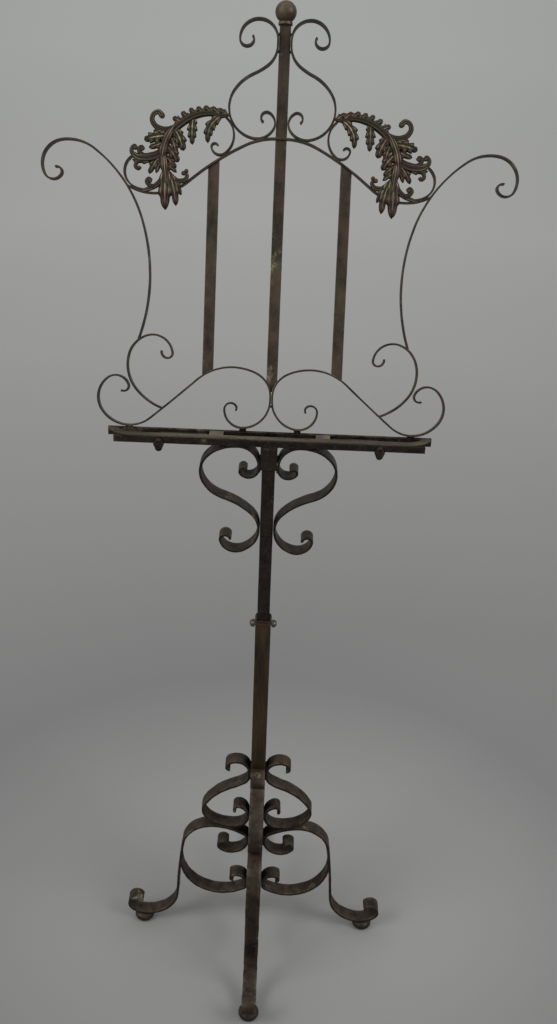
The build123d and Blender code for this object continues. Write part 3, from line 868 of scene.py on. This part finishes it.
class Casting:
    """Closed shells gathered into one casting. In mm, u across its plane, v up it and w out of it.

    Each point has a relief, about 0 in a hollow and 1 on a rib, which the bronze finish reads.
    """

    def __init__(self):
        self.points, self.faces, self.relief = [], [], []

    def tube(self, rows, relief):
        """A closed skin over rings of points."""
        first, wide = len(self.points), len(rows[0])
        last = first + (len(rows) - 1) * wide
        for row, heights in zip(rows, relief):
            self.points += row
            self.relief += heights
        for start in range(first, last, wide):
            for i in range(wide):
                a, b = start + i, start + (i + 1) % wide
                self.faces.append((a, b, b + wide, a + wide))
        self.faces.append(tuple(range(first + wide - 1, first - 1, -1)))
        self.faces.append(tuple(range(last, last + wide)))

    def vine(self, route, radii, flutes=3):
        """A stalk along a route of (u, v, w), tapering through the radii. With no flutes it is round."""
        flute_depth, flatness, stalk_relief = 0.14, 0.85, 0.24
        line = smooth(route, 5)
        rings, relief = [], []
        sides = 4 * flutes if flutes else 10
        for k, point in enumerate(line):
            way = (line[min(k + 1, len(line) - 1)] - line[max(k - 1, 0)]).normalized()
            sideways = Vector((-way.y, way.x, 0)).normalized()
            forward = way.cross(sideways)
            share = k / (len(line) - 1)
            radius = blended(radii, share)
            ring, heights = [], []
            for turn in turns(sides):
                groove = flute_depth * cos(2 * flutes * turn) if flutes else 0.0
                spread = radius * (1 + groove)
                ring.append(point + sideways * spread * cos(turn) - forward * spread * flatness * sin(turn))
                heights.append(stalk_relief + (1.2 + 2.2 * share) * groove)
            rings.append(ring)
            relief.append(heights)
        self.tube(rings, relief)

    def bead(self, centre, radius):
        """A small cast berry, brighter towards its top."""
        middle, levels, sides = Vector(centre), 7, 10
        rings, relief = [], []
        for j in range(levels):
            rise = -pi / 2 + pi * (j + 0.25) / (levels - 0.5)
            spokes = (Vector((cos(a) * cos(rise), sin(a) * cos(rise), sin(rise))) for a in turns(sides))
            rings.append([middle + spoke * radius for spoke in spokes])
            relief.append([0.1 + 0.06 * j] * sides)
        self.tube(rings, relief)

    def leaf(self, base, tip, bow, width, lobes, lift, cut=0.42):
        """A lobed, veined leaf from base to tip, its midrib bowed sideways and lifted through three heights.

        cut is how deep the notches between the lobes go, as a share of the half width.
        """
        lobe_rows, swell, rib_width, vein_width = 9, width / 14, 0.14, 0.13
        stations = (-1.0, -0.86, -0.62, -0.38, -0.16, 0.0, 0.16, 0.38, 0.62, 0.86, 1.0)
        start, end = Vector(base), Vector(tip)
        run = end - start
        middle = (start + end) / 2 + Vector((-run.y, run.x)).normalized() * bow * 2
        rows, relief = [], []
        last = lobe_rows * lobes
        for j in range(last + 1):
            s = j / last
            spot = bowed(start, middle, end, s)
            way = ((middle - start) * (1 - s) + (end - middle) * s).normalized()
            left = Vector((-way.y, way.x))
            height = bowed(*lift, s)
            # Each lobe widens from a notch, and the whole leaf is fullest below its middle.
            phase = (j % lobe_rows + 0.5) / lobe_rows if j < last else 1.0
            lobe = phase**0.8 * min(1.0, (1 - phase) * 4.5)
            fullness = max(s, 0.02) ** 0.45 * (1 - s) ** 0.75 / 0.47
            half = max(width / 2 * fullness * (1 - cut + cut * lobe), 0.35 if s > 0.97 else 1.1)
            front, back, heights = [], [], []
            for t in stations:
                far = abs(t)
                place = spot + left * half * t + way * half * 0.55 * far**1.4
                vein = cos(2 * pi * (phase - 0.62)) * far
                rib = ridge(t, rib_width) * (1 - s) ** 0.3
                up = swell * (1.6 * sin(pi * far**0.9) + 1.2 * rib + 0.8 * vein - 1.0 * far**3)
                front.append(Vector((place.x, place.y, height + up)))
                back.append(Vector((place.x, place.y, height + up - 0.7 - 1.1 * (1 - far))))
                streak = ridge(far - 0.6, vein_width) * (1 - s) ** 0.5
                hollow = ridge(far - 0.32, vein_width)
                raised = 0.5 * rib + 0.36 * streak + 0.6 * vein * (1 - far)
                heights.append(0.32 + raised - 0.36 * hollow - 0.4 * far**4)
            rows.append([*front, *back[::-1]])
            relief.append([*heights, *[PLAIN_RELIEF] * len(back)])
        self.tube(rows, relief)

    def weld(self, u, v, half, radius):
        """A rippled weld bead across a joint, w from -half to half."""
        sides, ripple, end_taper = 8, 0.14, 0.7
        last = round(half * 3.4)
        rings = []
        for k in range(last + 1):
            swell = radius * (1 - ripple + ripple * cos(pi * k / 2)) * (end_taper if k in (0, last) else 1.0)
            w = half * (2 * k / last - 1)
            rings.append([Vector((u + swell * cos(a), v + swell * sin(a), w)) for a in turns(sides)])
        self.tube(rings, [[PLAIN_RELIEF] * sides] * len(rings))

    def piece(self, name, place, finish):
        """The casting in its place, as a new object."""
        mesh = bpy.data.meshes.new(name)
        mesh.from_pydata([place @ (p * MM) for p in self.points], [], self.faces)
        shape = bmesh.new()
        shape.from_mesh(mesh)
        bmesh.ops.recalc_face_normals(shape, faces=shape.faces)
        shape.to_mesh(mesh)
        shape.free()
        mesh.attributes.new("relief", "FLOAT", "POINT")
        mesh.attributes["relief"].data.foreach_set("value", self.relief)
        for polygon in mesh.polygons:
            polygon.use_smooth = True
        mesh.set_sharp_from_angle(angle=radians(55))
        mesh.materials.append(finish)
        return linked(name, mesh)


def acanthus_spray():
    """A stalk with a hook, a branch, curls and berries, and the leaves that lie over them."""
    spray = Casting()
    stem = (
        (73, 443, 8), (85, 441, 8.5), (100, 444, 9), (116, 442, 9.5), (130, 436, 10), (143, 427, 10),
        (153, 417, 10), (160, 405, 10), (164, 390, 9.5), (165, 375, 9), (162, 361, 8.5),
    )
    spray.vine(stem, (1.8, 3.0, 4.0, 4.8, 5.2, 5.2, 5.0, 4.8, 4.4, 4.0, 3.0))
    hook = ((148, 424), (158, 420), (168, 420), (177, 424), (182, 432), (180, 440), (173, 443), (168, 438))
    spray.vine([(u, v, 9) for u, v in hook], (3.6, 3.8, 3.6, 3.4, 3.2, 3.0, 3.2, 3.8))
    branch = ((163, 393), (172, 385), (182, 381), (192, 380), (201, 381), (208, 385))
    spray.vine([(u, v, 8.5) for u, v in branch], (4.6, 6.0, 6.4, 5.8, 4.8, 3.2))
    for curl in (
        ((203, 382), (209, 386), (210, 392), (206, 396), (203, 392)),
        ((193, 383), (198, 387), (200, 392), (196, 395), (193, 391)),
        ((195, 378), (202, 374), (204, 368), (200, 365), (197, 368)),
        ((178, 341), (184, 343), (188, 348), (185, 352), (181, 349)),
    ):
        spray.vine([(u, v, 9) for u, v in curl], (3.6, 3.2, 2.8, 2.8, 2.6), flutes=0)
    spray.vine(
        ((163, 366, 8.5), (165, 355, 8.5), (171, 346, 8.5), (180, 340, 8), (189, 337, 6), (195, 336.5, 3)),
        (2.6, 3.6, 3.6, 3.2, 2.6, 2.0),
    )
    spray.vine(
        [(u, v, 8.5) for u, v in ((161, 361), (152, 353), (143, 350), (134, 352), (131, 358), (135, 362))],
        (2.6, 3.4, 3.4, 3.0, 2.6, 2.2),
    )
    for centre, radius in (
        ((168, 438), 4.2), ((205, 393), 3.2), ((195, 392), 3.0), ((199, 367), 2.2), ((183, 349), 3.2),
        ((136, 361), 3.4), ((132, 364), 3.2),
    ):
        spray.bead((*centre, 9.5), radius)
    for leaf in (  # base, tip, bow, width, lobes, lift and, where it isn't the usual one, cut
        ((76, 441), (90, 450), 1.0, 11, 2, (8, 10, 9)),
        ((86, 441), (100, 452), 1.0, 12, 2, (8, 11, 8)),
        ((96, 442), (110, 453), 0.5, 12, 2, (9, 12, 8)),
        ((106, 441), (120, 452), -0.5, 12, 2, (9, 12, 8)),
        ((116, 439), (130, 450), -1.0, 12, 2, (9, 12, 8)),
        ((126, 435), (141, 445), -1.5, 13, 2, (9, 12, 8)),
        ((134, 430), (153, 437), -1.5, 15, 3, (9, 13, 8)),
        ((124, 441), (125, 401), 0.8, 18, 4, (8, 14, 7)),
        ((84, 441), (103, 404), 7.0, 19, 4, (8, 14, 7)),
        ((152, 423), (137, 392), -2.0, 21, 3, (9, 14, 8)),
        ((156, 412), (147, 386), -1.5, 15, 3, (9, 13, 8)),
        ((163, 399), (144, 376), -1.5, 19, 3, (9, 13, 8)),
        ((165, 385), (147, 368), -1.0, 14, 3, (9, 12, 8)),
        ((162, 372), (146, 362), -0.8, 10, 2, (9, 12, 8)),
        ((158, 411), (193, 405), 1.0, 22, 4, (9, 14, 7)),
        ((160, 414), (180, 417), 1.5, 11, 2, (9, 12, 8)),
        ((165, 403), (186, 395), -1.5, 13, 2, (9, 12, 8)),
        ((166, 386), (185, 359), 1.5, 16, 3, (9, 13, 7)),
        ((166, 380), (175, 360), 0.5, 10, 2, (9, 12, 8)),
        ((180, 380), (209, 377), -1.5, 14, 2, (8, 12, 8)),
        ((160, 370), (161, 310), 1.0, 23, 3, (9, 15, 7), 0.26),
        ((158, 364), (146, 316), -2.5, 18, 3, (8, 13, 7), 0.34),
        ((157, 360), (139, 331), -2.0, 13, 3, (8, 12, 7)),
        ((150, 425), (166, 362), 6.5, 13, 3, (14, 17, 11), 0.2),
        ((164, 392), (157, 336), 1.5, 11, 2, (12, 17, 10), 0.2),
    ):
        spray.leaf(*leaf)
    return spray


spray = acanthus_spray()
for hand, side in HANDS:
    spray_piece = spray.piece(hand + "_acanthus_spray", desk_place(side), leaf_bronze)
    placed(spray_piece, "head", "leaf_bronze", hand + "_leaf_spray")


def welded(name, body, slot, finish, place, beads):
    """A piece of weld beads, each (u, v, half its length, radius)."""
    welds = Casting()
    for bead in beads:
        welds.weld(*bead)
    placed(welds.piece(name, place, finish), body, slot)


for leg, azimuth in LEGS:
    leg_beads = [(13.3, height, 11.5, 1.7) for height in (226.5, 209.5, 386.7, 366.2, 117.0)]
    welded(leg + "_leg_welds", "base", "leg_iron", leg_iron, leg_place(azimuth), leg_beads)
for hand, side in HANDS:
    bracket_beads = [(13.2, height, 11.0, 1.6) for height in (984.8, 967.8)]
    welded(hand + "_bracket_welds", "head", "ledge_iron", shaded_bar_iron, leg_place(90 - 90 * side), bracket_beads)
for hand, side in HANDS:
    crown_beads = [(8.7, height, 5.4, 1.5) for height in (555.0, 532.0)]
    welded(hand + "_crown_welds", "head", "desk_iron", desk_iron, desk_place(side), crown_beads)
welded("foot_scroll_weld", "head", "desk_iron", desk_iron, desk_place(1), [(0.0, 36.6, 5.4, 1.7)])
